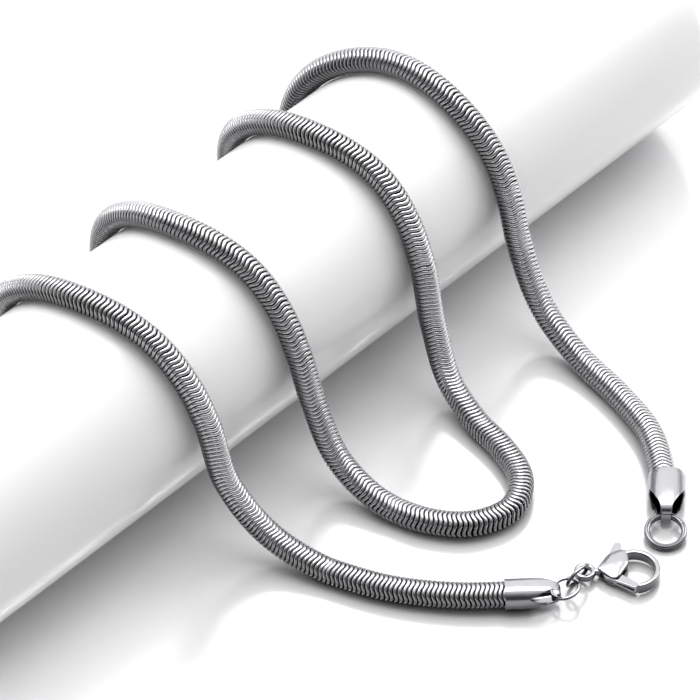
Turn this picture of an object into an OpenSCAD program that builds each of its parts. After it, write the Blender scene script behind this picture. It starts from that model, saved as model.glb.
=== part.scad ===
// Round snake chain necklace laid in four passes over a plain display roller.
// X runs along the roller, Y away from the front, Z up.
// The origin is on the table, under the middle of the roller.

/* [Roller] */
// Diameter of the display roller
roller_d = 36; // [30:1:44]
// Length of the display roller
roller_len = 160; // [150:5:200]
// Rounding of the roller's end edges
roller_edge = 1; // [0.5:0.25:2]

/* [Chain] */
// Outside diameter of the round snake chain
chain_d = 4; // [3:0.25:5]
// Number of sides on the chain's round section
chain_sides = 12; // [8:2:12]
// Gap that keeps the chain's straight stretches off the roller
seat_gap = 0.45; // [0.4:0.05:0.8]

/* [End caps] */
// Length of each end cap, from its mouth to its toe
cap_len = 8.3; // [8:0.1:9]
// Length of the full oval barrel behind the mouth
cap_barrel = 3.5; // [3:0.1:4]
// Thickness of the cap's pressed sheet
cap_wall = 0.22; // [0.18:0.02:0.3]
// Free height between the chain and the inside of the barrel
cap_fit = 0.06; // [0.03:0.01:0.1]
// How much wider than high the oval barrel is
cap_oval = 1.1; // [0.8:0.1:1.4]
// Width of the strap at the toe
toe_w = 1.56; // [1.4:0.02:2]
// Height of the toe's top above the middle of the barrel
toe_top = 1; // [0.8:0.1:1.4]
// Depth of the toe's underside below the middle of the barrel
toe_low = 1.4; // [1.2:0.1:1.6]
// How deep the chain sits in the cap
chain_in_cap = 2.5; // [1.5:0.1:3]

/* [End ring] */
// Outside diameter of the open end ring
ring_d = 6.4; // [6:0.1:7]
// Width of the end ring's wire
ring_wire = 0.86; // [0.7:0.02:0.9]
// Height of the end ring's wire
ring_tall = 1.2; // [0.9:0.05:1.3]
// Rounding of the end ring's wire
ring_edge = 0.28; // [0.2:0.02:0.34]
// Width of the cut where the end ring closes
ring_cut = 0.08; // [0.05:0.01:0.15]
// Place of that cut round the ring, counted from the side away from the cap
ring_cut_turn = 115; // [60:5:150]

/* [Link rings] */
// Outside diameter of the two small rings at the clasp
link_d = 4.72; // [4.6:0.02:4.8]
// Wire diameter of the two small rings
link_wire = 0.56; // [0.5:0.02:0.6]
// Play left where the two small rings hang in each other
link_play = 0.11; // [0.08:0.01:0.2]

/* [Clasp] */
// Thickness of the clasp's crowned body
body_t = 2.6; // [2.4:0.05:2.8]
// Height of the hook's band
hook_h = 1.8; // [1.6:0.05:2]
// Outside radius of the hook
hook_r = 3.8; // [3.6:0.05:4]
// Thickness of the hook's band
hook_wall = 0.78; // [0.6:0.02:0.84]
// Diameter of the hole in the eye
eye_hole = 1.8; // [1.75:0.05:1.9]
// Width of the eye's rounded rim
eye_rim = 0.72; // [0.6:0.02:0.76]
// Thickness of the eye and its neck
eye_t = 1.1; // [0.9:0.05:1.2]
// Thickness of the lever's folded sheet
lever_t = 1.5; // [1.3:0.05:1.6]
// Diameter of the lever's pin
pin_d = 0.8; // [0.6:0.05:0.9]
// Running clearance round the pin, on the radius
pin_clear = 0.05; // [0.03:0.01:0.1]
// Gap between the lever and the body
lever_gap = 0.1; // [0.08:0.01:0.15]
// Angle that the lever opens by
lever_open = 22; // [15:1:24]

/* [Layout] */
// Place of the clasp side's cap mouth along the roller
clasp_cap_x = -14.3; // [-16:0.1:-13]
// Distance of that mouth in front of the roller
clasp_cap_out = 42.9; // [41:0.1:45]
// Direction in which that cap points
clasp_cap_turn = -43.8; // [-50:0.1:-38]
// Place of the ring side's cap mouth along the roller
ring_cap_x = 20; // [19:0.1:21]
// Distance of that mouth in front of the roller
ring_cap_out = 44.5; // [43:0.1:46]
// Direction in which that cap points
ring_cap_turn = -139.7; // [-145:0.1:-135]
// Direction of the two small rings, from the cap to the clasp
link_turn = 7.6; // [6:0.2:9]
// Direction in which the clasp points
clasp_turn = -45.6; // [-50:0.1:-40]

/* [Hidden] */

steel = [0.72, 0.73, 0.75];
bright_steel = [0.82, 0.83, 0.85];
white = [0.95, 0.95, 0.96];
eps = 0.01;
table_gap = 0.03;

roller_r = roller_d / 2;
chain_r = chain_d / 2;
seat_r = roller_r + chain_r + seat_gap;

// Sizes of a cap, from the chain that it holds
cap_h = chain_d + 2 * (cap_fit + cap_wall);
cap_z = cap_h / 2 + table_gap;
toe_top_r = 2 * cap_wall;
toe_low_r = 1.4 * cap_wall;
toe_w_half = toe_w / 2;
scoop_inset = 0.3;
scoop_spare = 1;
cap_w_half = (cap_h + cap_oval) / 2;
strap_bend = [0.8 * cap_len, 0.9 * cap_h / 2];

// Where the rings hang in the toes, along each cap
link_hold_in = 0.6;
link_hold_side = -0.89;
link_hold = [cap_len - link_hold_in, link_hold_side];
ring_mean_r = (ring_d - ring_wire) / 2;
ring_hold = cap_len - cap_wall - 0.8 * ring_wire;
ring_low_z = cap_z - toe_low + cap_wall + 2 * table_gap;
ring_tilt = asin((ring_low_z - 2 * table_gap) / (2 * ring_mean_r));

// The two small rings climb to where they meet
link_mean_d = link_d - link_wire;
link_rise = [6.5, 27.8];
link_lean = [-14, 71.5];
link_hold_z = 2.1;
link_reach = link_mean_d * (cos(link_rise[0]) + cos(link_rise[1])) - link_wire - link_play;
eye_play = 0.1;

// Centre height of the clasp, and its shape seen from above, from the eye
clasp_z = body_t / 2 + table_gap;
hook_at = [7.3, 0];
pivot_at = [3.6, -0.6];
nose = [2.3, 0.1, 0.42];
back = [5, 1.6, 1.9];
corner = [6, 3.5, 0.4];
chin = [4.9, -1.75, 0.55];
crown = [[0.6, 1], [0.25, 0.85], [0, 0.58]];
hub_r = 0.95;
gate_r = 4.95;
hook_from = -92;
hook_to = 112;
hook_edge = 0.25;
low_slot = [[0, 0], [-1, 0], [-1, -3], [3, -3], [3, -1.5]];
gate_tip = [[7.75, -3.05], [7.5, -hook_r]];
gate_back = 0.5;
tab_root = [[4.5, 3.9, 0.55], [5.15, 3.9, 0.5]];
tab_tip = [5.05, 5.1, 0.5];
groove_h = 0.5;
groove = [[4.6, -3.6], [7.1, -4.4], [7.1, -3.35], [4.6, -1.9]];
pin_inset = 0.3;
pin_len = body_t - 2 * pin_inset;
open_spare = 2;

// Points of the chain's route: round the roller by angle from its front,
// or a distance in front of or behind the roller with a lift off the table.
// The free points beside a cap are placed from that cap's mouth.
function wrap(x, angle) = [x, -seat_r * cos(angle), roller_r + seat_r * sin(angle)];
function front(x, out, lift = 0) = [x, -roller_r - out, chain_r + lift];
function behind(x, out, lift = 0) = [x, roller_r + out, chain_r + lift];
function in_cap(x, out, turn) =
    [x + chain_in_cap * cos(turn), -roller_r - out + chain_in_cap * sin(turn), cap_z];

route = [
    in_cap(clasp_cap_x, clasp_cap_out, clasp_cap_turn),
    front(clasp_cap_x - 4.7, clasp_cap_out - 4.9, 0.2), front(clasp_cap_x - 10.7, clasp_cap_out - 13.9),
    front(-28.5, 20, 0.1), front(-31, 11.5, 3), front(-33.2, 5, 11),
    wrap(-33.8, 20), wrap(-35.3, 60), wrap(-38.4, 100), wrap(-38.8, 140), wrap(-36.5, 180),
    behind(-36.3, 2.6, 9.5), behind(-34.4, 3.2, 3.6), behind(-30.7, 3.5, 0.6), behind(-26.2, 3.6),
    behind(-21.7, 3.5, 0.6), behind(-18, 3.2, 3.6), behind(-16.1, 2.6, 9.5),
    wrap(-15.8, 180), wrap(-17.4, 140), wrap(-17.6, 100), wrap(-14.9, 60), wrap(-14.3, 20),
    front(-14, 4, 13.5), front(-13.5, 9.5, 3.4), front(-12.8, 18, 0.2), front(-10.8, 24.5),
    front(-6.5, 29.8), front(-0.3, 31.7), front(5, 28.6), front(7.8, 22.5), front(9, 16.5, 0.1),
    front(10.9, 9, 2.4), front(11.9, 4.2, 11.5),
    wrap(12.5, 20), wrap(12.7, 60), wrap(10.2, 100), wrap(10, 140), wrap(11.8, 180),
    behind(11.9, 2.4, 7.5), behind(13.3, 3, 3), behind(15.8, 3.2, 0.5), behind(18.5, 3.3),
    behind(21.2, 3.2, 0.5), behind(23.7, 3, 3), behind(25.1, 2.4, 7.5),
    wrap(25.2, 180), wrap(26.8, 140), wrap(30.4, 100), wrap(31.6, 60), wrap(31.9, 20),
    front(31, 4.6, 14), front(30.7, 10.5, 4), front(29.8, 18, 0.6),
    front(ring_cap_x + 8.2, ring_cap_out - 16.8), front(ring_cap_x + 5.5, ring_cap_out - 8.5, 0.2),
    in_cap(ring_cap_x, ring_cap_out, ring_cap_turn)
];
// The route's point where the two halves of the chain meet, in the front loop
halfway = 28;

// Smooth curve through the route's points, with a ring at each point and one
// more in the middle of each stretch that is longer than three diameters
last = len(route) - 1;
stretch = [for (i = [0 : last - 1]) norm(route[i + 1] - route[i])];
function slope(i) =
    i == 0 ? (route[1] - route[0]) / stretch[0]
    : i == last ? (route[last] - route[last - 1]) / stretch[last - 1]
    : ((route[i] - route[i - 1]) / stretch[i - 1] * stretch[i]
        + (route[i + 1] - route[i]) / stretch[i] * stretch[i - 1]) / (stretch[i - 1] + stretch[i]);
slopes = [for (i = [0 : last]) slope(i)];
function along(i, t) =
    (2 * t ^ 3 - 3 * t ^ 2 + 1) * route[i] + (t ^ 3 - 2 * t ^ 2 + t) * stretch[i] * slopes[i]
    + (3 * t ^ 2 - 2 * t ^ 3) * route[i + 1] + (t ^ 3 - t ^ 2) * stretch[i] * slopes[i + 1];
function clear_of_roller(p) =
    let (away = norm([p[1], p[2] - roller_r]), push = max(1, seat_r / away))
    [p[0], p[1] * push, max(chain_r, roller_r + (p[2] - roller_r) * push)];
ring_step = 2.8 * chain_d;
function steps(i) = stretch[i] > ring_step ? 2 : 1;
function centres(from, to) = concat(
    [for (i = [from : to - 1], k = [0 : steps(i) - 1]) clear_of_roller(along(i, k / steps(i)))],
    [route[to]]);

// A ring of points round each centre, carried along the curve without twist
function unit(v) = v / norm(v);
function heading(c, i) = unit(c[min(i + 1, len(c) - 1)] - c[max(i - 1, 0)]);
function square_to(v, t) = unit(v - (v * t) * t);
function sides(c, first) = [
    for (i = 0, s = square_to(first, heading(c, 0)); i < len(c);
         i = i + 1, s = i < len(c) ? square_to(s, heading(c, i)) : s) s
];
function section(c, s, t) = [
    for (k = [0 : chain_sides - 1])
        c + chain_r * (cos(360 * k / chain_sides) * s + sin(360 * k / chain_sides) * cross(t, s))
];

module tube(c, t_end) {
    count = len(c);
    t = [for (i = [0 : count - 1]) t_end[0] == i ? t_end[1] : heading(c, i)];
    s = sides(c, [0, 0, 1]);
    rings = [for (i = [0 : count - 1]) section(c[i], square_to(s[i], t[i]), t[i])];
    n = chain_sides;
    polyhedron(
        points = [for (ring = rings) each ring],
        faces = concat(
            [[for (k = [0 : n - 1]) k]],
            [for (i = [0 : count - 2], k = [0 : n - 1])
                [i * n + k, (i + 1) * n + k, (i + 1) * n + (k + 1) % n, i * n + (k + 1) % n]],
            [[for (k = [n - 1 : -1 : 0]) (count - 1) * n + k]]),
        convexity = 10);
}

clasp_side = centres(0, halfway);
ring_side = centres(halfway, last);
meeting = unit(slopes[halfway]);

module chain_clasp_side() {
    color(steel) tube(clasp_side, [len(clasp_side) - 1, meeting]);
}

module chain_ring_side() {
    color(steel) tube(ring_side, [0, meeting]);
}

module display_roller() {
    color(white)
    translate([-roller_len / 2, 0, roller_r])
    rotate([0, 90, 0])
    rotate_extrude($fn = 128)
    union() {
        square([roller_r - roller_edge, roller_len]);
        translate([0, roller_edge]) square([roller_r, roller_len - 2 * roller_edge]);
        for (y = [roller_edge, roller_len - roller_edge])
            translate([roller_r - roller_edge, y]) circle(r = roller_edge, $fn = 32);
    }
}

// Oval section of a cap, upright in the Y and Z directions
module oval(h, w_more, len) {
    rotate([90, 0, 90])
    linear_extrude(len)
    union() {
        for (side = [-1, 1]) translate([side * w_more / 2, 0]) circle(d = h, $fn = 48);
        square([w_more, h], center = true);
    }
}

// Round bar across the cap, one of those that shape the front
module cap_bar(at, r, w) {
    translate([at[0], w / 2, at[1]]) rotate([90, 0, 0]) cylinder(r = r, h = w, $fn = 32);
}

// Tapered front of the cap, solid: from the barrel down to the rounded toe
module cap_front(wall, from, w) {
    hull() {
        translate([from, 0, 0]) oval(cap_h - 2 * wall, cap_oval, eps);
        cap_bar([strap_bend[0], strap_bend[1] - toe_top_r], toe_top_r - wall, w);
        cap_bar([cap_len - toe_top_r, toe_top - toe_top_r], toe_top_r - wall, w);
        cap_bar([cap_len - toe_low_r, toe_low_r - toe_low], toe_low_r - wall, w);
    }
}

// Pressed cap: an oval barrel, scooped away on both sides to a narrow strap
module end_cap() {
    scoop_from = cap_barrel + scoop_inset;
    scoop_to = cap_len - scoop_inset;
    run = scoop_to - scoop_from;
    rise = cap_w_half - toe_w_half;
    scoop_r = (run ^ 2 + rise ^ 2) / (2 * rise);
    difference() {
        union() {
            oval(cap_h, cap_oval, cap_barrel);
            cap_front(0, cap_barrel - eps, toe_w + scoop_spare);
        }
        translate([-eps, 0, 0]) oval(cap_h - 2 * cap_wall, cap_oval, cap_barrel);
        cap_front(cap_wall, cap_barrel - 2 * eps, toe_w + 2 * scoop_spare);
        for (side = [-1, 1])
            translate([scoop_to, side * (toe_w_half + scoop_r), -cap_h])
                cylinder(r = scoop_r, h = 2 * cap_h, $fn = 96);
        for (side = [-1, 1])
            translate([scoop_to, side > 0 ? toe_w_half : -toe_w_half - cap_h, -cap_h])
                cube([cap_len, cap_h, 2 * cap_h]);
    }
}

// Frames in which the two caps lie, with X from the mouth to the toe
module at_clasp_cap() {
    translate([clasp_cap_x, -roller_r - clasp_cap_out, cap_z]) rotate([0, 0, clasp_cap_turn]) children();
}

module at_ring_cap() {
    translate([ring_cap_x, -roller_r - ring_cap_out, cap_z]) rotate([0, 0, ring_cap_turn]) children();
}

module clasp_end_cap() {
    color(bright_steel) at_clasp_cap() end_cap();
}

module ring_end_cap() {
    color(bright_steel) at_ring_cap() end_cap();
}

// Open ring of rounded flat wire, lying with one side raised in the cap's toe
module end_ring() {
    color(bright_steel)
    at_ring_cap()
    translate([ring_hold + ring_mean_r, 0, -cap_z + (ring_low_z + ring_tall) / 2 + table_gap])
    rotate([0, ring_tilt, 0])
    difference() {
        rotate_extrude($fn = 96) translate([ring_mean_r, 0]) bar_section(ring_wire, ring_tall, ring_edge);
        rotate([0, 0, ring_cut_turn])
            translate([0, -ring_cut / 2, -ring_tall]) cube([ring_d, ring_cut, 2 * ring_tall]);
    }
}

// Where the first small ring hangs in the cap's toe, seen from above
toe_point = [clasp_cap_x + link_hold[0] * cos(clasp_cap_turn) - link_hold[1] * sin(clasp_cap_turn),
             -roller_r - clasp_cap_out + link_hold[0] * sin(clasp_cap_turn)
             + link_hold[1] * cos(clasp_cap_turn)];
function from_toe(reach) = toe_point + reach * [cos(link_turn), sin(link_turn)];
eye_at = from_toe(link_reach + eye_play);

// One round wire ring that hangs from a point and climbs towards the other
module link_ring(at, z, turn, rise, lean) {
    color(bright_steel)
    translate([at[0], at[1], z])
    rotate([0, 0, turn])
    rotate([0, -rise, 0])
    rotate([lean, 0, 0])
    translate([link_mean_d / 2, 0, 0])
    rotate_extrude($fn = 64)
    translate([link_mean_d / 2, 0])
    circle(d = link_wire, $fn = 24);
}

module link_ring_1() {
    link_ring(toe_point, link_hold_z, link_turn, link_rise[0], link_lean[0]);
}

module link_ring_2() {
    link_ring(from_toe(link_reach), clasp_z, link_turn + 180, link_rise[1], link_lean[1]);
}

// Frame of the clasp, with X from the eye to the hook
module at_clasp() {
    translate([eye_at[0], eye_at[1], clasp_z]) rotate([0, 0, clasp_turn]) children();
}

module disc(c, more = 0) {
    translate([c[0], c[1]]) circle(r = c[2] + more, $fn = 32);
}

// Crowned drop: the same outline drawn in towards both faces
module drop() {
    hull()
        for (step = crown, c = [nose, back, corner, chin])
            translate([c[0], c[1], -step[1] * body_t / 2])
                cylinder(r = max(c[2] - step[0], eps), h = step[1] * body_t, $fn = 32);
}

// Rounded bar section, for the hook's band and the eye's rim
module bar_section(w, h, r) {
    square([w, h - 2 * r], center = true);
    square([w - 2 * r, h], center = true);
    for (x = [-1, 1], y = [-1, 1])
        translate([x * (w / 2 - r), y * (h / 2 - r)]) circle(r = r, $fn = 24);
}

module lever_stem() {
    hull() {
        translate(pivot_at) circle(r = hub_r, $fn = 32);
        for (c = tab_root) disc(c);
    }
}

module lever_tab() {
    hull() for (c = concat(tab_root, [tab_tip])) disc(c);
}

module lever_gate() {
    intersection() {
        hull() {
            translate(pivot_at) circle(r = hub_r, $fn = 32);
            polygon(concat(gate_tip, [gate_tip[1] - [gate_back, 0]]));
        }
        translate(pivot_at) circle(r = gate_r, $fn = 128);
    }
}

// Room that a part of the lever sweeps through, as one convex patch
module swept_room() {
    hull() {
        offset(delta = lever_gap) children();
        translate(pivot_at) rotate(lever_open + open_spare) translate(-pivot_at)
            offset(delta = lever_gap) children();
    }
}

module pin_at_pivot(r, h) {
    translate([pivot_at[0], pivot_at[1], -h / 2]) cylinder(r = r, h = h, $fn = 48);
}

// Hook, crowned body, neck and eye in one piece, with a slot for the lever
module clasp_body() {
    slot_h = lever_t + 2 * lever_gap;
    eye_mean_r = (eye_hole + eye_rim) / 2;
    color(bright_steel)
    at_clasp()
    difference() {
        union() {
            drop();
            rotate_extrude($fn = 64) translate([eye_mean_r, 0]) bar_section(eye_rim, eye_t, 0.9 * eye_rim / 2);
            translate([eye_mean_r, -nose[2], -eye_t / 2]) cube([nose[0] - eye_mean_r, 2 * nose[2], eye_t]);
            difference() {
                translate(hook_at)
                rotate([0, 0, hook_from])
                rotate_extrude(angle = hook_to - hook_from, $fn = 96)
                translate([hook_r - hook_wall / 2, 0])
                bar_section(hook_wall, hook_h, hook_edge);
                intersection() {
                    pin_at_pivot(gate_r + lever_gap, 2 * body_t);
                    translate([0, -2 * hook_r, -body_t]) cube([2 * hook_r, 2 * hook_r, 2 * body_t]);
                }
            }
        }
        translate([0, 0, -slot_h / 2])
        linear_extrude(slot_h)
        union() {
            swept_room() lever_stem();
            swept_room() lever_gate();
            translate(pivot_at) polygon(low_slot);
        }
        pin_at_pivot(pin_d / 2 + 2 * eps, pin_len + 2 * eps);
    }
}

// Lever of folded sheet: a hub, a grooved gate that closes the hook, and a tab
module clasp_lever() {
    color(bright_steel)
    at_clasp()
    difference() {
        translate([0, 0, -lever_t / 2])
        linear_extrude(lever_t)
        union() {
            lever_stem();
            lever_tab();
            lever_gate();
        }
        translate([0, 0, -groove_h / 2]) linear_extrude(groove_h) polygon(groove);
        pin_at_pivot(pin_d / 2 + pin_clear, 2 * lever_t);
    }
}

module clasp_pin() {
    color(steel) at_clasp() pin_at_pivot(pin_d / 2, pin_len);
}

display_roller();
chain_clasp_side();
chain_ring_side();
clasp_end_cap();
ring_end_cap();
end_ring();
link_ring_1();
link_ring_2();
clasp_body();
clasp_lever();
clasp_pin();
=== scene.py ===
import math

import bmesh
import bpy
from mathutils import Matrix, Vector

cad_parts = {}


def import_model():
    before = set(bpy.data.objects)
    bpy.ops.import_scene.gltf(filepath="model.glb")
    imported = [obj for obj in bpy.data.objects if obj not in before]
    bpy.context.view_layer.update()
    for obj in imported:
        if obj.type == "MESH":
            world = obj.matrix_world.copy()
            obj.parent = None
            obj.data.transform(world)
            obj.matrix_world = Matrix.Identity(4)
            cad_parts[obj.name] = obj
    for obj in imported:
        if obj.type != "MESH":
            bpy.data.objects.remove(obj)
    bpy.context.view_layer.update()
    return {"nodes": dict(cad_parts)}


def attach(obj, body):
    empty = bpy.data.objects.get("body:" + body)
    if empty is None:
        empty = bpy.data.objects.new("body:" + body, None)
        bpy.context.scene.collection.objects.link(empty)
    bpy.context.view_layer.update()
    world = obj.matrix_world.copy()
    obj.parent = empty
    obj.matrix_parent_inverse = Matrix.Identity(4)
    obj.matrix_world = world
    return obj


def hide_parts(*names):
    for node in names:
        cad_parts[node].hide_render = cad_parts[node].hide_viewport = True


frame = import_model()

# Camera
# A long lens looks down at the necklace at 45 degrees, across the roller's axis. Its
# place is worked back from the spot on the table in the middle of the picture.
heading, tilt = math.radians(-46.737), math.radians(45)
picture_middle, camera_away = Vector((0.00879, -0.00808, 0)), 0.95025
camera = bpy.data.objects.new("camera", bpy.data.cameras.new("camera"))
camera.data.lens, camera.data.sensor_width = 319.65, 36
camera.data.clip_start, camera.data.clip_end = 0.05, 20
camera.rotation_euler = (tilt, 0, heading)
look = Vector((-math.sin(heading), math.cos(heading), -1)) / math.sqrt(2)
camera.location = picture_middle - camera_away * look
bpy.context.collection.objects.link(camera)
bpy.context.scene.camera = camera

# Table
# A sheet of white acrylic, polished, so that things on it show as soft dark reflections.
# It lies a hair below the roller and the chain, which rest on it.
table_half, table_sink = 3, 0.00001


def linear(hex_colour):
    """A colour written as sRGB hex, turned to the linear values that a shader takes."""
    parts = [int(hex_colour[i:i + 2], 16) / 255 for i in (1, 3, 5)]
    return [c / 12.92 if c <= 0.04045 else ((c + 0.055) / 1.055) ** 2.4 for c in parts] + [1]


def add(tree, kind, links=(), **settings):
    """Adds a node, sets its sockets and properties, and links other sockets into it."""
    made = tree.nodes.new(kind)
    for key, value in settings.items():
        if hasattr(made, key):
            setattr(made, key, value)
        else:
            made.inputs[key.replace("_", " ")].default_value = value
    for source, socket in links:
        tree.links.new(source, made.inputs[socket])
    return made


def material(name):
    """A new material and its node tree, which starts empty."""
    made = bpy.data.materials.new(name)
    made.use_nodes = True
    made.node_tree.nodes.clear()
    return made, made.node_tree


def piece(name, bm, finish, smooth=40):
    """Makes an object of a bmesh, with its faces outwards and smooth up to that angle."""
    bmesh.ops.recalc_face_normals(bm, faces=bm.faces)
    mesh = bpy.data.meshes.new(name)
    bm.to_mesh(mesh)
    bm.free()
    mesh.materials.append(finish)
    mesh.shade_smooth()
    mesh.set_sharp_from_angle(angle=math.radians(smooth))
    made = bpy.data.objects.new(name, mesh)
    bpy.context.collection.objects.link(made)
    return made


table_paint, tree = material("polished white acrylic sheet")
# A bright even white, under a gloss that mirrors what stands on it.
skin = add(tree, "ShaderNodeBsdfPrincipled",
           Base_Color=linear("#F4F4F5"), Metallic=0.4, Roughness=0.17)
add(tree, "ShaderNodeOutputMaterial", [(skin.outputs[0], "Surface")])
bm = bmesh.new()
bmesh.ops.create_grid(bm, x_segments=1, y_segments=1, size=table_half,
                      matrix=Matrix.Translation((0, 0, -table_sink)))
table = piece("table", bm, table_paint)

# Studio light
# A wide white softbox stands behind and above, with a dim room on the camera's side,
# so that shadows fall forwards and polished steel gets dark bands below bright ones.
room_bright_side, room_strength = (0.43, 0.42, 1), 1.3
room_levels = ((0.30, 0.05), (0.5, 0.2), (0.7, 0.6), (0.85, 0.95))


def softbox(name, place, target, width, depth, power):
    """A rectangular area light that faces a point."""
    lamp = bpy.data.lights.new(name, "AREA")
    lamp.shape = "RECTANGLE"
    lamp.size, lamp.size_y, lamp.energy = width, depth, power
    made = bpy.data.objects.new(name, lamp)
    made.location = place
    made.rotation_euler = (Vector(target) - Vector(place)).to_track_quat("-Z", "Y").to_euler()
    bpy.context.collection.objects.link(made)


bpy.context.scene.view_settings.view_transform = "Standard"
world = bpy.data.worlds.new("studio")
bpy.context.scene.world = world
world.use_nodes = True
tree = world.node_tree
tree.nodes.clear()
where = add(tree, "ShaderNodeTexCoord")
facing = add(tree, "ShaderNodeVectorMath", [(where.outputs["Generated"], 0)],
             operation="DOT_PRODUCT")
facing.inputs[1].default_value = room_bright_side
share = add(tree, "ShaderNodeMapRange", [(facing.outputs["Value"], "Value")],
            From_Min=-0.6, From_Max=1.2)
ramp = add(tree, "ShaderNodeValToRGB", [(share.outputs[0], 0)])
stops = ramp.color_ramp.elements
stops[0].position, stops[0].color = 0.0, (0.03, 0.03, 0.03, 1)
stops[1].position, stops[1].color = 1.0, (1.0, 1.0, 1.0, 1)
for place, level in room_levels:
    stop = stops.new(place)
    stop.color = (level, level, level, 1)
sky = add(tree, "ShaderNodeBackground", [(ramp.outputs[0], "Color")], Strength=room_strength)
add(tree, "ShaderNodeOutputWorld", [(sky.outputs[0], "Surface")])
softbox("key", place=(0.16, 0.16, 1.15), target=(0, 0, 0), width=1.2, depth=0.8, power=12)
softbox("right side", place=(0.9, -0.5, 0.5), target=(0, 0, 0), width=0.6, depth=0.6, power=1.5)

# Display roller
# A solid white acrylic rod, turned and polished, with slightly rounded ends.
# The chain lies over it in four passes.
roller_r, roller_len, roller_edge, roller_sides = 0.018, 0.160, 0.001, 160
waves_per_m = 35  # one about every 29 mm, as polishing leaves them
roller_paint, tree = material("cast white acrylic rod, polished")
# Milky depth that lights its shaded side from within, under a gloss with the faintest waves.
spot = add(tree, "ShaderNodeTexCoord")
wave = add(tree, "ShaderNodeTexNoise", [(spot.outputs["Object"], "Vector")],
           Scale=waves_per_m, Detail=2)
relief = add(tree, "ShaderNodeBump", [(wave.outputs[0], "Height")], Strength=0.05, Distance=0.0002)
skin = add(tree, "ShaderNodeBsdfPrincipled", [(relief.outputs[0], "Normal")],
           Base_Color=linear("#F3F2F3"), Roughness=0.2, IOR=1.49, Subsurface_Weight=0.5,
           Subsurface_Radius=(1, 1, 1), Subsurface_Scale=0.005)
add(tree, "ShaderNodeOutputMaterial", [(skin.outputs[0], "Surface")])


def soften_ends(bm, width, segments):
    """Rounds the two end edges of an upright cylinder, which are the ones that lie level."""
    level = [e for e in bm.edges if abs(e.verts[0].co.z - e.verts[1].co.z) < 1e-6]
    bmesh.ops.bevel(bm, geom=level, offset=width, segments=segments, profile=0.5,
                    affect="EDGES", material=-1)


bm = bmesh.new()
bmesh.ops.create_cone(bm, cap_ends=True, segments=roller_sides, radius1=roller_r,
                      radius2=roller_r, depth=roller_len)
soften_ends(bm, width=roller_edge, segments=6)
turn = Matrix.Translation((0, 0, roller_r)) @ Matrix.Rotation(math.radians(90), 4, "Y")
bmesh.ops.transform(bm, matrix=turn, verts=bm.verts)
roller = piece("roller", bm, roller_paint)
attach(roller, "necklace")
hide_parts("display_roller")

# Chain
# Round snake chain of stainless steel: each link is a stamped zigzag band, curled into
# a ring, whose rear rim tucks under the next band. The links are strung along the route.
chain_r, link_pitch, link_kink = 0.002, 0.000685, 0.0002
seat_r = roller_r + chain_r + 0.00005
cap_z, chain_in_cap = 0.00231, 2.5
steps_per_span, top_turns_over = 24, 0.012
chain_marks_per_m = 900  # one about every 1.1 mm, coarser than real ones so that they show
chain_steel, tree = material("polished stainless steel band")
# Bright and slightly soft from tumbling, with painted shade darkening it where the bands tuck into
# each other and on their lower flanks.
spot = add(tree, "ShaderNodeTexCoord")
grain = add(tree, "ShaderNodeTexNoise", [(spot.outputs["Object"], "Vector")],
            Scale=chain_marks_per_m, Detail=3)
shine = add(tree, "ShaderNodeMapRange", [(grain.outputs[0], "Value")],
            From_Min=0.3, From_Max=0.7, To_Min=0.18, To_Max=0.32)
# Mixes in the painted shade that each link's points carry
painted_shade_node = add(tree, "ShaderNodeAttribute", attribute_name="painted_shade")
tint = add(tree, "ShaderNodeMix", [(painted_shade_node.outputs["Fac"], "Factor")], data_type="RGBA")
tint.inputs["A"].default_value = linear("#D8D8DB")
tint.inputs["B"].default_value = linear("#1C1C1E")
skin = add(tree, "ShaderNodeBsdfPrincipled",
           [(tint.outputs["Result"], "Base Color"), (shine.outputs[0], "Roughness")], Metallic=1.0)
add(tree, "ShaderNodeOutputMaterial", [(skin.outputs[0], "Surface")])


def clamp(value):
    """A value kept between 0 and 1."""
    return min(1, max(0, value))


def wrap(x, angle):
    """A point on the roller, by its place along it in mm and its angle from the front."""
    a = math.radians(angle)
    return Vector((x / 1000, -seat_r * math.cos(a), roller_r + seat_r * math.sin(a)))


def before(x, out, lift=0):
    """A point in front of the roller, with a lift off the table, in mm."""
    return Vector((x / 1000, -roller_r - out / 1000, chain_r + lift / 1000))


def behind(x, out, lift=0):
    """A point behind the roller, with a lift off the table, in mm."""
    return Vector((x / 1000, roller_r + out / 1000, chain_r + lift / 1000))


def in_cap(x, out, angle):
    """The chain's end inside a cap, by the cap's mouth and direction, in mm and degrees."""
    a = math.radians(angle)
    along = Vector((math.cos(a), math.sin(a), 0)) * chain_in_cap / 1000
    return Vector((x / 1000, -roller_r - out / 1000, cap_z)) + along


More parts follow.
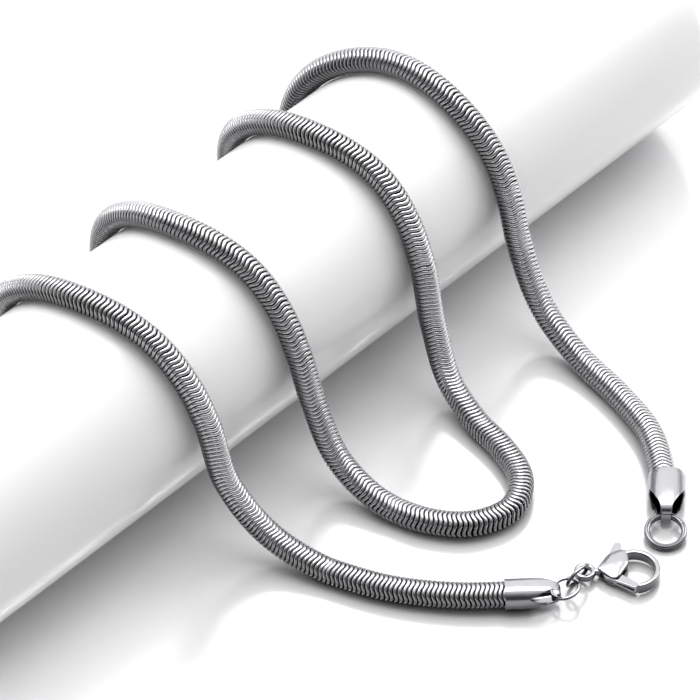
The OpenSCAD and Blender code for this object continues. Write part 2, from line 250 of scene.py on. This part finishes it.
# From the clasp's cap over the roller and back, twice, to the ring's cap
route = [
    in_cap(-14.3, 42.9, -43.8),
    before(-19, 38, 0.2), before(-25, 29), before(-28.5, 20, 0.1), before(-31, 11.5, 3),
    before(-33.2, 5, 11),
    wrap(-33.8, 20), wrap(-35.3, 60), wrap(-38.4, 100), wrap(-38.8, 140), wrap(-36.5, 180),
    behind(-36.3, 2.6, 9.5), behind(-34.4, 3.2, 3.6), behind(-30.7, 3.5, 0.6), behind(-26.2, 3.6),
    behind(-21.7, 3.5, 0.6), behind(-18, 3.2, 3.6), behind(-16.1, 2.6, 9.5),
    wrap(-15.8, 180), wrap(-17.4, 140), wrap(-17.6, 100), wrap(-14.9, 60), wrap(-14.3, 20),
    before(-14, 4, 13.5), before(-13.5, 9.5, 3.4), before(-12.8, 18, 0.2), before(-10.8, 24.5),
    before(-6.5, 29.8), before(-0.3, 31.7), before(5, 28.6), before(7.8, 22.5),
    before(9, 16.5, 0.1), before(10.9, 9, 2.4), before(11.9, 4.2, 11.5),
    wrap(12.5, 20), wrap(12.7, 60), wrap(10.2, 100), wrap(10, 140), wrap(11.8, 180),
    behind(11.9, 2.4, 7.5), behind(13.3, 3, 3), behind(15.8, 3.2, 0.5), behind(18.5, 3.3),
    behind(21.2, 3.2, 0.5), behind(23.7, 3, 3), behind(25.1, 2.4, 7.5),
    wrap(25.2, 180), wrap(26.8, 140), wrap(30.4, 100), wrap(31.6, 60), wrap(31.9, 20),
    before(31, 4.6, 14), before(30.7, 10.5, 4), before(29.8, 18, 0.6), before(28.2, 27.7),
    before(25.5, 36, 0.2),
    in_cap(20, 44.5, -139.7),
]
halfway = 28  # the route's point where the chain's two halves meet


def follow(points):
    """A smooth curve through points that keeps out of the roller and off the table."""
    spans = [(b - a).length for a, b in zip(points, points[1:])]
    slopes = [(points[1] - points[0]) / spans[0]]
    for i in range(1, len(points) - 1):
        back = (points[i] - points[i - 1]) / spans[i - 1]
        on = (points[i + 1] - points[i]) / spans[i]
        slopes.append((back * spans[i] + on * spans[i - 1]) / (spans[i - 1] + spans[i]))
    slopes.append((points[-1] - points[-2]) / spans[-1])
    places = []
    for i, span in enumerate(spans):
        for k in range(steps_per_span):
            t = k / steps_per_span
            p = ((2 * t ** 3 - 3 * t ** 2 + 1) * points[i]
                 + (t ** 3 - 2 * t ** 2 + t) * span * slopes[i]
                 + (3 * t ** 2 - 2 * t ** 3) * points[i + 1]
                 + (t ** 3 - t ** 2) * span * slopes[i + 1])
            push = max(1, seat_r / math.hypot(p.y, p.z - roller_r))
            z = max(chain_r, roller_r + (p.z - roller_r) * push)
            places.append((i + t, Vector((p.x, p.y * push, z))))
    places.append((len(points) - 1, points[-1]))
    return places


def upwards(p):
    """The side of the chain that faces away from the roller, or from the table."""
    out = Vector((0, p.y, p.z - roller_r))
    clear = clamp((out.length - seat_r) / top_turns_over)
    clear = clear * clear * (3 - 2 * clear)
    return out.normalized() * (1 - clear) + Vector((0, 0, 1)) * clear


# One link: its band's section is spun into a ring, and the ring is bent into a zigzag of
# eight kinks with flattened legs between them. The section's points are distances from
# the middle of the band, along and into the chain, in mm.
band = [(-0.33, 0.2), (-0.18, 0.0), (0.18, 0.0), (0.41, 0.3)]
link_sides, kink_every, flatten = 24, 45, 0.02
# Painted shade: it darkens with the depth below its outside, where the bands tuck under each other,
# and with the angle from its top, on the lower flanks
dark_depth, dark_from, lower_dark, lower_from, lower_span = 0.0002, 0.5, 0.8, 56, 28
bm = bmesh.new()
ring = [bm.verts.new((a / 1000, 0, chain_r - d / 1000)) for a, d in band]
outline = [bm.edges.new((ring[i], ring[(i + 1) % len(ring)])) for i in range(len(ring))]
bmesh.ops.spin(bm, geom=ring + outline, cent=(0, 0, 0), axis=(1, 0, 0), angle=math.tau,
               steps=link_sides, use_merge=True)
# A layer of painted shade on each point, for the recesses between bands and the lower flanks
painted_shade = bm.verts.layers.float.new("painted_shade")
for v in bm.verts:
    depth = chain_r - math.hypot(v.co.y, v.co.z)
    angle = math.degrees(math.atan2(v.co.y, v.co.z))
    lower = clamp((abs(angle) - lower_from) / lower_span)
    v[painted_shade] = clamp(max(0, depth / dark_depth - dark_from) + lower_dark * lower)
    turns = (angle - kink_every) / kink_every
    v.co.x += link_kink * math.cos(math.pi * turns)
    v.co.yz *= 1 - flatten * math.sin(math.pi * turns) ** 2
bmesh.ops.recalc_face_normals(bm, faces=bm.faces)
link = bpy.data.meshes.new("link")
bm.to_mesh(link)
bm.free()

places = follow(route)
lengths = [0.0]
for (_, a), (_, b) in zip(places, places[1:]):
    lengths.append(lengths[-1] + (b - a).length)
link_count = round(lengths[-1] / link_pitch)
halves = {"chain_clasp_side": bmesh.new(), "chain_ring_side": bmesh.new()}
at = 0
for k in range(link_count):
    reach = (k + 0.5) * lengths[-1] / link_count
    while lengths[at + 1] < reach:
        at += 1
    share = (reach - lengths[at]) / (lengths[at + 1] - lengths[at])
    a, b = places[max(0, at - 1)][1], places[min(len(places) - 1, at + 2)][1]
    middle = places[at][1].lerp(places[at + 1][1], share)
    forward = (b - a).normalized()
    up = upwards(middle)
    up = (up - up.dot(forward) * forward).normalized()
    side = up.cross(forward)
    stand = Matrix((forward, side, up)).transposed().to_4x4()
    stand.translation = middle
    copy = link.copy()
    copy.transform(stand)
    name = "chain_clasp_side" if places[at][0] < halfway else "chain_ring_side"
    halves[name].from_mesh(copy)
    bpy.data.meshes.remove(copy)
for name, bm in halves.items():
    mesh = bpy.data.meshes.new("links_" + name)
    bm.to_mesh(mesh)
    bm.free()
    mesh.materials.append(chain_steel)
    mesh.shade_smooth()
    links = bpy.data.objects.new("links_" + name, mesh)
    bpy.context.collection.objects.link(links)
    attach(links, "necklace")
    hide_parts(name)

# End caps
# Pressed and polished stainless steel: one strip of sheet, narrowed and folded over at
# the toe, with its edges joined round the barrel that grips the chain.
fitting_marks_per_m = 700  # one about every 1.4 mm, coarser than real ones so that they show
fitting_steel, tree = material("mirror polished stainless steel")
# Near mirror finish with fine tumbling marks, with painted shade darkening its sides and
# undersides.
spot = add(tree, "ShaderNodeTexCoord")
grain = add(tree, "ShaderNodeTexNoise", [(spot.outputs["Object"], "Vector")],
            Scale=fitting_marks_per_m, Detail=4)
shine = add(tree, "ShaderNodeMapRange", [(grain.outputs[0], "Value")],
            From_Min=0.3, From_Max=0.7, To_Min=0.10, To_Max=0.20)
relief = add(tree, "ShaderNodeBump", [(grain.outputs[0], "Height")],
             Strength=0.08, Distance=0.00002)
under = add(tree, "ShaderNodeAttribute", attribute_name="under")
# Painted shade on sides and undersides, set from each vertex's normal
tint = add(tree, "ShaderNodeMix", [(under.outputs["Fac"], "Factor")], data_type="RGBA")
tint.inputs["A"].default_value = linear("#C4C4C8")
tint.inputs["B"].default_value = linear("#2C2C2F")
skin = add(tree, "ShaderNodeBsdfPrincipled",
           [(tint.outputs["Result"], "Base Color"), (shine.outputs[0], "Roughness"),
            (relief.outputs[0], "Normal")], Metallic=1.0)
add(tree, "ShaderNodeOutputMaterial", [(skin.outputs[0], "Surface")])


def fix(made, node, body="necklace", level=0.5, fade=0.8):
    """Rides a fitting on its body, in place of its CAD node, and paints shade on what faces below a
    level.
    """
    marks = made.data.attributes.new("under", "FLOAT", "POINT")
    for v in made.data.vertices:
        marks.data[v.index].value = clamp((level - v.normal.z) / fade)
    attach(made, body)
    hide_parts(node)


def placed(x, y, z, turn):
    """A fitting's frame, from its place in mm and its direction in degrees."""
    return (Matrix.Translation(Vector((x, y, z)) / 1000)
            @ Matrix.Rotation(math.radians(turn), 4, "Z") @ Matrix.Scale(0.001, 4))


def soften(made, width, segments, limit):
    """Rounds the edges of a piece that are sharper than an angle."""
    soft = made.modifiers.new("edge", "BEVEL")
    soft.width, soft.segments = width, segments
    soft.limit_method, soft.angle_limit = "ANGLE", math.radians(limit)


clasp_cap = placed(-14.3, -60.9, 2.31, -43.8)
ring_cap = placed(20, -62.5, 2.31, -139.7)
oval_r, oval_flat, sheet, across = 2.28, 0.55, 0.22, 20
# Stations along the strip, from the mouth's top over the toe to the mouth's bottom:
# place along and up, where its outside faces, how far round it bends, and its narrowing.
strip = [
    (0, 2.28, 0, 64, 1), (1.2, 2.28, 0, 64, 1), (2.4, 2.28, 0, 64, 1), (3.5, 2.28, 0, 64, 1),
    (4.1, 2.27, 2, 55, 1), (4.9, 2.24, 4, 42, 1), (5.7, 2.19, 6, 31, 1), (6.4, 2.11, 10, 21, 1),
    (7.0, 1.96, 18, 13, 1), (7.5, 1.74, 25, 9, 1), (7.9, 1.47, 40, 6.5, 1), (8.15, 1.1, 65, 6, 1),
    (8.26, 0.6, 85, 6, 1), (8.28, -0.1, 90, 6, 1), (8.25, -0.8, 100, 6, 1),
    (8.08, -1.22, 130, 6, 1), (7.8, -1.4, 160, 9, 1), (7.4, -1.5, 170, 30, 0.75),
    (6.9, -1.62, 170, 44, 0.8), (6.3, -1.76, 170, 60, 0.83), (5.5, -1.91, 171, 78, 0.88),
    (4.6, -2.08, 171, 98, 0.95), (3.5, -2.28, 180, 116, 1), (2.4, -2.28, 180, 116, 1),
    (1.2, -2.28, 180, 116, 1), (0, -2.28, 180, 116, 1),
]
bm = bmesh.new()
bmesh.ops.create_grid(bm, x_segments=len(strip) - 1, y_segments=across, size=1)
for v in bm.verts:
    x, up, facing, bend, narrow = strip[round((v.co.x + 1) / 2 * (len(strip) - 1))]
    reach = abs(v.co.y) * (oval_flat + oval_r * math.radians(bend))
    a = max(0, reach - oval_flat) / oval_r
    drop = oval_r * (1 - math.cos(a))
    out = math.radians(facing)
    y = math.copysign(min(reach, oval_flat) + oval_r * math.sin(a), v.co.y) * narrow
    v.co = (x - drop * math.sin(out), y, up - drop * math.cos(out))
bmesh.ops.remove_doubles(bm, verts=bm.verts, dist=0.01)
bmesh.ops.recalc_face_normals(bm, faces=bm.faces)
pressed = bpy.data.meshes.new("pressed strip")
bm.to_mesh(pressed)
bm.free()
# The clasp's cap is squeezed rounder than the ring's, whose sides are left wide. The lower side
# behind the toe is open to the light and stays bright, so most of its painted shade is taken off.
fold_x, fold_z, fold_dark = 4.3, -0.9, 0.15
for name, stand, wide, tall in (
        ("clasp_end_cap", clasp_cap, 0.82, 0.93), ("ring_end_cap", ring_cap, 1, 1)):
    bm = bmesh.new()
    bm.from_mesh(pressed)
    bmesh.ops.scale(bm, vec=(1, wide, tall), verts=bm.verts)
    bmesh.ops.transform(bm, matrix=stand, verts=bm.verts)
    cap = piece("pressed_" + name, bm, fitting_steel)
    wall = cap.modifiers.new("wall", "SOLIDIFY")
    wall.thickness, wall.offset = sheet / 1000, -1
    soften(cap, width=0.00005, segments=2, limit=60)
    fix(cap, name)
    for v in cap.data.vertices:
        near = stand.inverted() @ v.co
        if near.x > fold_x and near.z < fold_z:
            cap.data.attributes["under"].data[v.index].value *= fold_dark

# End ring
# An open ring of rounded flat stainless wire, bent round and polished, which hangs in
# the ring cap's toe with that side raised.
end_ring_r, end_wire, end_tall, end_edge, end_line = 2.77, 0.86, 1.2, 0.42, 0.07
end_cut, end_cut_at = 0.08, 115
end_middle, end_rise = (10.162, 0, -1.085), 11.78


def rounded_bar(width, height, edge, line=0.0):
    """Section of a rounded flat wire, in mm, with a fine line on top and outside if asked."""
    corners = []
    for sx, sz, start in ((1, 1, 0), (-1, 1, 90), (-1, -1, 180), (1, -1, 270)):
        for k in range(5):
            a = math.radians(start + 22.5 * k)
            corners.append((sx * (width / 2 - edge) + edge * math.cos(a),
                            sz * (height / 2 - edge) + edge * math.sin(a)))
        if line and sx == sz == 1:
            corners[-1] = (line, height / 2)
            corners += [(0, height / 2 - line), (-line, height / 2)]
    if line:
        corners += [(width / 2, -line), (width / 2 - line, 0), (width / 2, line)]
    return corners


def bent_wire(bm, section, bend_r, first, last, steps):
    """Spins a wire's section into an arc about Z, with closed ends unless it is a full ring."""
    old = set(bm.verts)
    points = [bm.verts.new((bend_r + a, 0, z)) for a, z in section]
    loop = [bm.edges.new((points[i], points[i - 1])) for i in range(len(points))]
    full = last - first >= 360
    start = Matrix.Rotation(math.radians(first), 3, "Z")
    bmesh.ops.transform(bm, matrix=start.to_4x4(), verts=points)
    if not full:
        bmesh.ops.contextual_create(bm, geom=loop)
    made = bmesh.ops.spin(bm, geom=points + loop, cent=(0, 0, 0), axis=(0, 0, 1),
                          angle=math.radians(last - first), steps=steps, use_merge=full)
    if not full:
        rim = [e for e in made["geom_last"] if isinstance(e, bmesh.types.BMEdge)]
        bmesh.ops.contextual_create(bm, geom=rim)
    return [v for v in bm.verts if v not in old]


half_cut = math.degrees(end_cut / end_ring_r) / 2
bm = bmesh.new()
bent_wire(bm, rounded_bar(end_wire, end_tall, end_edge, end_line), end_ring_r,
          end_cut_at + half_cut, end_cut_at + 360 - half_cut, steps=96)
lie = (ring_cap @ Matrix.Translation(end_middle)
       @ Matrix.Rotation(math.radians(end_rise), 4, "Y"))
bmesh.ops.transform(bm, matrix=lie, verts=bm.verts)
fix(piece("open_end_ring", bm, fitting_steel), "end_ring", level=0.75)

# Link rings
# Two rings of round stainless wire, closed and polished, which join the clasp to its cap.
# Each hangs by one side and lies at its own slant.
link_r, link_wire_r, link_gap, wire_sides = 2.08, 0.28, 0.02, 16
round_wire = [(link_wire_r * math.cos(k * math.tau / wire_sides),
               link_wire_r * math.sin(k * math.tau / wire_sides)) for k in range(wire_sides)]
half_gap = math.degrees(link_gap / link_r)
for name, stand, rise, lean, cut in (
        ("link_ring_1", placed(-9.358, -66.872, 2.1, 7.6), 6.5, -14, 60),
        ("link_ring_2", placed(-2.278, -65.927, 1.33, 187.6), 27.8, 71.5, 300)):
    bm = bmesh.new()
    bent_wire(bm, round_wire, link_r, cut + half_gap, cut + 360 - half_gap, steps=64)
    lie = (stand @ Matrix.Rotation(math.radians(-rise), 4, "Y")
           @ Matrix.Rotation(math.radians(lean), 4, "X") @ Matrix.Translation((link_r, 0, 0)))
    bmesh.ops.transform(bm, matrix=lie, verts=bm.verts)
    fix(piece("wire_" + name, bm, fitting_steel), name, level=0.8)

# Clasp body
# Cast and polished stainless steel: two crowned plates with a slot between them for the
# lever, a rounded hook, and an eye on a short neck.
clasp = placed(-2.179, -65.914, 1.33, -45.6)
pivot = Vector((3.6, -0.6, 0))
# The plates' outline is drop-shaped: discs, by place and radius, with a band drawn round them
drop_discs = [(2.3, 0.1, 0.42), (4.8, 1.6, 1.75), (5.95, 3.45, 0.4), (4.3, -1.65, 0.5)]
drop_middle, drop_sides = Vector((4.7, 1.0)), 72
plate_low, plate_rim, plate_top, plate_flat = 0.62, 0.74, 1.29, 0.6
eye_r, eye_wire, eye_tall = 1.26, 0.72, 1.1
hook_x, hook_r, hook_wire, hook_tall, hook_from, hook_to = 7.3, 3.41, 0.78, 1.8, -88, 112
# The hook's tip is cut square to the line from the lever's pin, where the gate ends
gate_line, gate_reach, tip_side, tip_edge = Vector((0.835, -0.55, 0)), 5.05, -1, 0.1


def drop_reach(angle):
    """Distance from the drop's middle to its outline, which is drawn tight round its discs."""
    best, tries, slant = 100, 240, 0.05
    for k in range(tries):
        side = k * math.tau / tries
        spread = math.cos(side - angle)
        if spread > slant:
            n = Vector((math.cos(side), math.sin(side)))
            reach = max((Vector((x, y)) - drop_middle).dot(n) + r for x, y, r in drop_discs)
            best = min(best, reach / spread)
    return best


# The outline's distances from its middle, side by side, eased a little at its corners
drop_step, weights = 360 / drop_sides, (1, 2, 3, 4, 3, 2, 1)
sharp = [drop_reach(math.radians(drop_step * k)) for k in range(drop_sides)]
eased = [sum(sharp[(k + j - 3) % drop_sides] * w for j, w in enumerate(weights)) / sum(weights)
         for k in range(drop_sides)]


def block(bm, low, high, edge):
    """A box between two corners, with its edges rounded."""
    low, high = Vector(low), Vector(high)
    stand = Matrix.Translation((low + high) / 2) @ Matrix.Diagonal((*(high - low), 1))
    made = bmesh.ops.create_cube(bm, size=1, matrix=stand)
    edges = list(dict.fromkeys(e for v in made["verts"] for e in v.link_edges))
    bmesh.ops.bevel(bm, geom=edges, offset=edge, segments=3, profile=0.5,
                    affect="EDGES", material=-1)


bm = bmesh.new()
for way in (1, -1):
    made = bmesh.ops.create_uvsphere(bm, u_segments=drop_sides, v_segments=24, radius=1)
    for v in made["verts"]:
        share, angle = math.hypot(v.co.x, v.co.y), math.atan2(v.co.y, v.co.x)
        reach = eased[round(math.degrees(angle) / drop_step) % drop_sides] * share
        crown = (1 - plate_flat) * (1 - share * share) + plate_flat * v.co.z
        up = plate_rim + (plate_top - plate_rim) * crown if v.co.z >= 0 else plate_low
        v.co = (drop_middle.x + reach * math.cos(angle), drop_middle.y + reach * math.sin(angle),
                way * up)
# The solid parts between the plates, beside the lever's stem and in the nose, and the neck
block(bm, (5.6, 0.6, -0.85), (6.4, 3.2, 0.85), edge=0.2)
block(bm, (1.9, -0.35, -0.95), (2.55, 0.5, 0.95), edge=0.28)
block(bm, (1.2, -0.42, -0.55), (2.4, 0.42, 0.55), edge=0.32)
bent_wire(bm, rounded_bar(eye_wire, eye_tall, edge=0.32), eye_r, 0, 360, steps=56)
hook = bent_wire(bm, rounded_bar(hook_wire, hook_tall, edge=0.28), hook_r,
                 hook_from, hook_to, steps=72)
bmesh.ops.translate(bm, vec=(hook_x, 0, 0), verts=hook)
faces = [f for f in bm.faces if f.verts[0] in hook and f.calc_center_median().y < tip_side]
parts = [part for f in faces for part in (*f.edges, *f.verts)]
tip = faces + list(dict.fromkeys(parts))
cut = bmesh.ops.bisect_plane(bm, geom=tip, plane_co=pivot + gate_reach * gate_line,
                             plane_no=-gate_line, clear_outer=True)
rim = [e for e in cut["geom_cut"] if isinstance(e, bmesh.types.BMEdge)]
bmesh.ops.contextual_create(bm, geom=rim)
bmesh.ops.bevel(bm, geom=rim, offset=tip_edge, segments=3, profile=0.5,
                affect="EDGES", material=-1)
bmesh.ops.transform(bm, matrix=clasp, verts=bm.verts)
fix(piece("crowned_clasp_body", bm, fitting_steel), "clasp_body", level=0.65)

# Clasp lever
# Folded and polished stainless sheet on the pin: a hub, a grooved gate and a thumb tab,
# with its edges rounded off. Its hub and tab are half as thick as the gate, to turn
# freely between the plates, and it rides its own body.
hub_share, gate_from, gate_full = 0.5, 5, 7
bm = bmesh.new()
bm.from_mesh(frame["nodes"]["clasp_lever"].data)
bmesh.ops.remove_doubles(bm, verts=bm.verts, dist=0.000002)
bmesh.ops.dissolve_limit(bm, angle_limit=math.radians(1), verts=bm.verts, edges=bm.edges)
for v in bm.verts:
    near = clasp.inverted() @ v.co
    gate = clamp((near.x - gate_from) / (gate_full - gate_from))
    near.z *= hub_share + (1 - hub_share) * gate
    v.co = clasp @ near
lever = piece("folded_clasp_lever", bm, fitting_steel)
soften(lever, width=0.00014, segments=3, limit=50)
fix(lever, "clasp_lever", "lever")

# Clasp pin
# A short round steel pin, pressed into the plates, which the lever turns on. It is out
# of sight under their crowns.
pin_r, pin_len, pin_edge = 0.4, 2, 0.00006
bm = bmesh.new()
bmesh.ops.create_cone(bm, cap_ends=True, segments=32, radius1=pin_r, radius2=pin_r,
                      depth=pin_len, matrix=clasp @ Matrix.Translation(pivot))
soften_ends(bm, width=pin_edge, segments=2)
fix(piece("pressed_clasp_pin", bm, fitting_steel), "clasp_pin")
